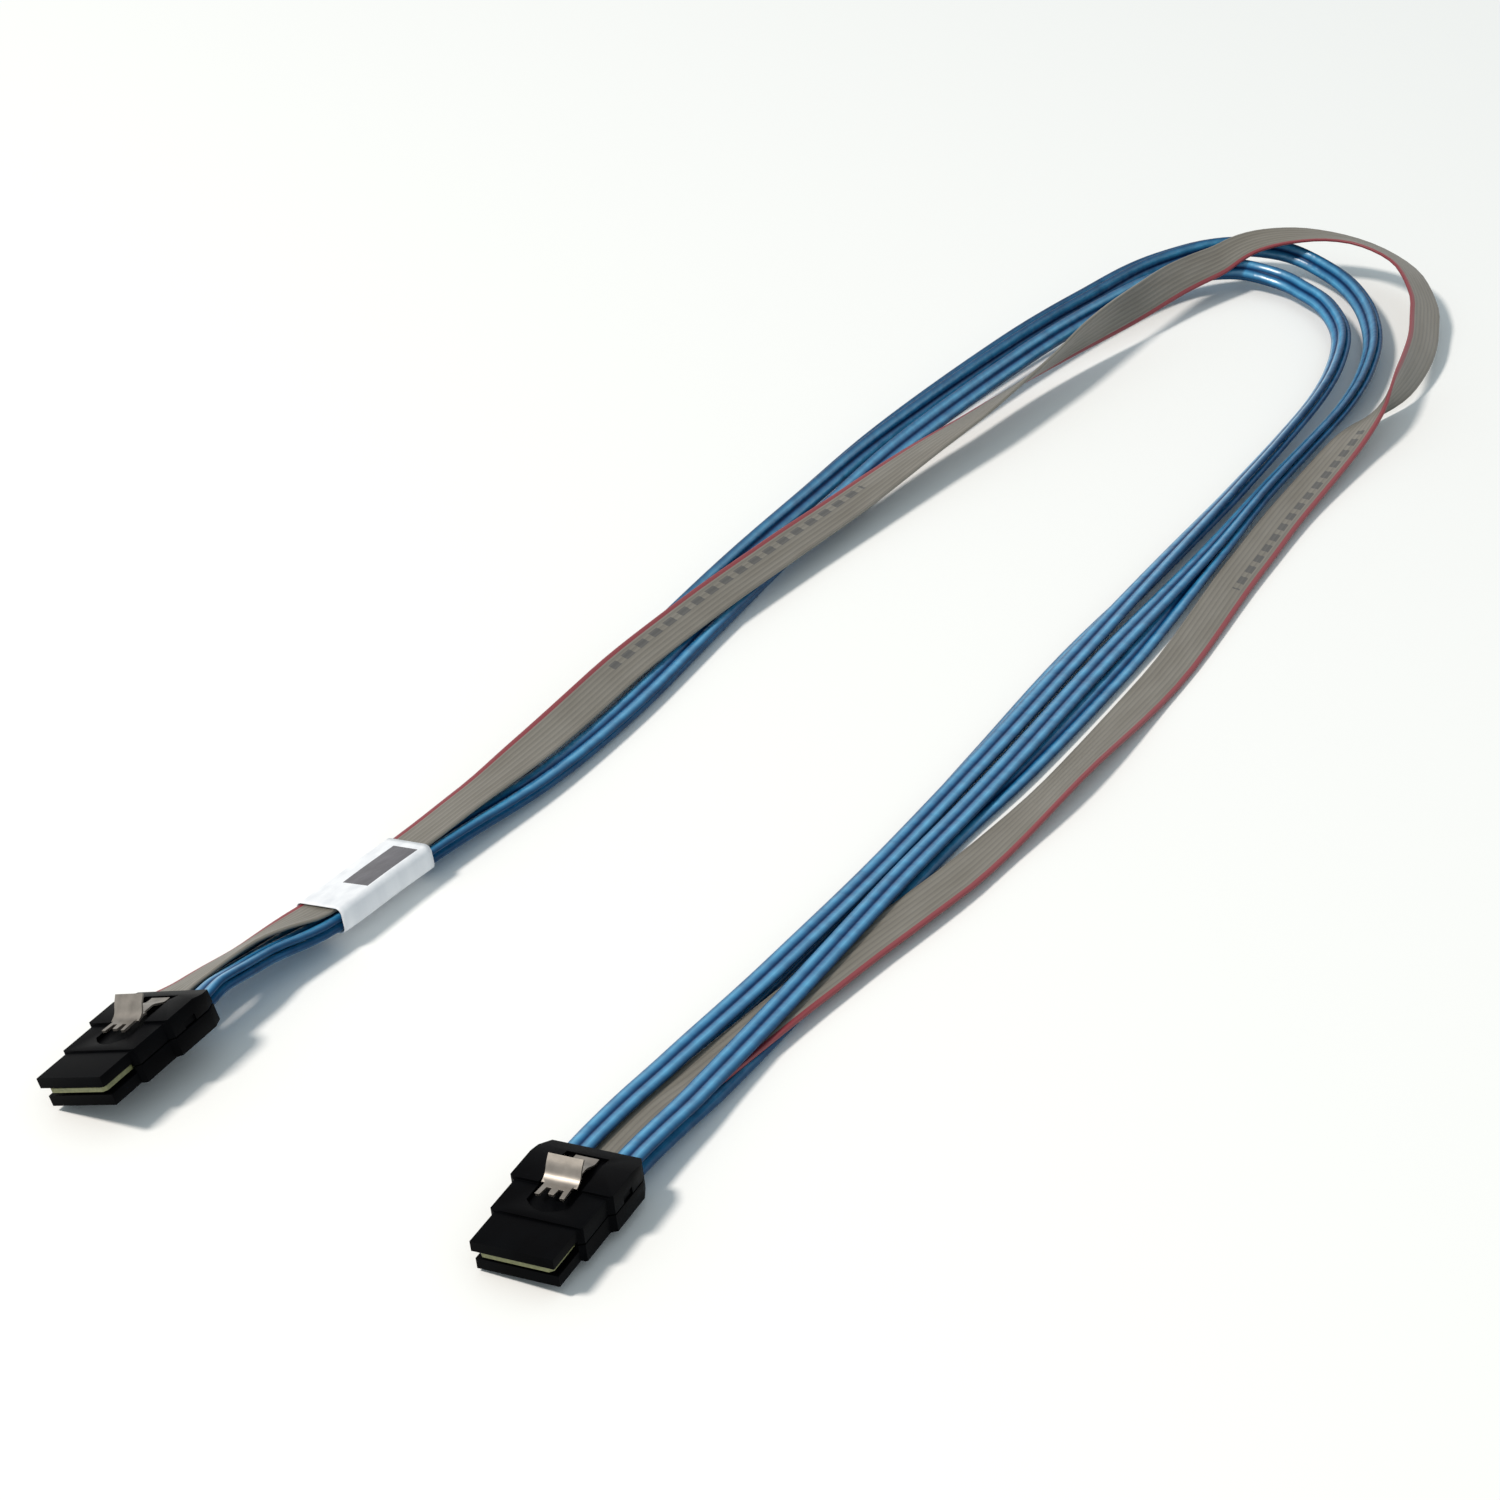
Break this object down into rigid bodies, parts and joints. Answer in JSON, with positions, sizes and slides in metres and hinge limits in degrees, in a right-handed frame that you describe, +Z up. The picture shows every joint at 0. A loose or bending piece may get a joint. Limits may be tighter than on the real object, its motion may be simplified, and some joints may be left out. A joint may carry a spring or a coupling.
{
  "type": "mini sas cable",
  "caption": "Internal data cable: flat blue strands and a grey ribbon between two black plugs with sprung steel latches, laid in a hairpin loop with a label sleeve.",
  "frame": {"origin": "middle of the two plugs' box, on the floor the cable lies on", "axes": "+Z up; X runs across the two plugs, from the far plug to the near plug; Y runs from the plugs to the loop"},
  "size_m": [0.1577, 0.5136, 0.0179],
  "materials": {
    "black_plastic": "satin",
    "circuit_board": "satin with gold pads",
    "inner_mould": "matte",
    "ground_bar": "plain",
    "latch_steel": "satin",
    "blue_jacket": "satin",
    "grey_ribbon": "satin",
    "label_film": "satin"
  },
  "bodies": {
    "cable": {"near_upper_shell": "black_plastic", "near_lower_shell": "black_plastic", "near_paddle_card": "circuit_board", "near_inner_mould": "inner_mould", "near_upper_ground_bar": "ground_bar", "near_lower_ground_bar": "ground_bar", "far_upper_shell": "black_plastic", "far_lower_shell": "black_plastic", "far_paddle_card": "circuit_board", "far_inner_mould": "inner_mould", "far_upper_ground_bar": "ground_bar", "far_lower_ground_bar": "ground_bar", "inner_upper_cable": "blue_jacket", "inner_lower_cable": "blue_jacket", "outer_upper_cable": "blue_jacket", "outer_lower_cable": "blue_jacket", "ribbon": "grey_ribbon", "label_sleeve": "label_film"},
    "near_release": {"near_latch": "latch_steel"},
    "far_release": {"far_latch": "latch_steel"}
  },
  "joints": [
    {"name": "near_latch_press", "type": "hinge", "parent": "cable", "child": "near_release", "pos_m": [0.05055, 0.01054, 0.00866], "axis": [0.9936, 0, 0.1132], "range_deg": [0, 5], "stiffness_Nm_per_rad": 0.3},
    {"name": "far_latch_press", "type": "hinge", "parent": "cable", "child": "far_release", "pos_m": [-0.05123, 0.01539, 0.01105], "axis": [0.9291, -0.0487, 0.3665], "range_deg": [0, 5], "stiffness_Nm_per_rad": 0.3}
  ]
}
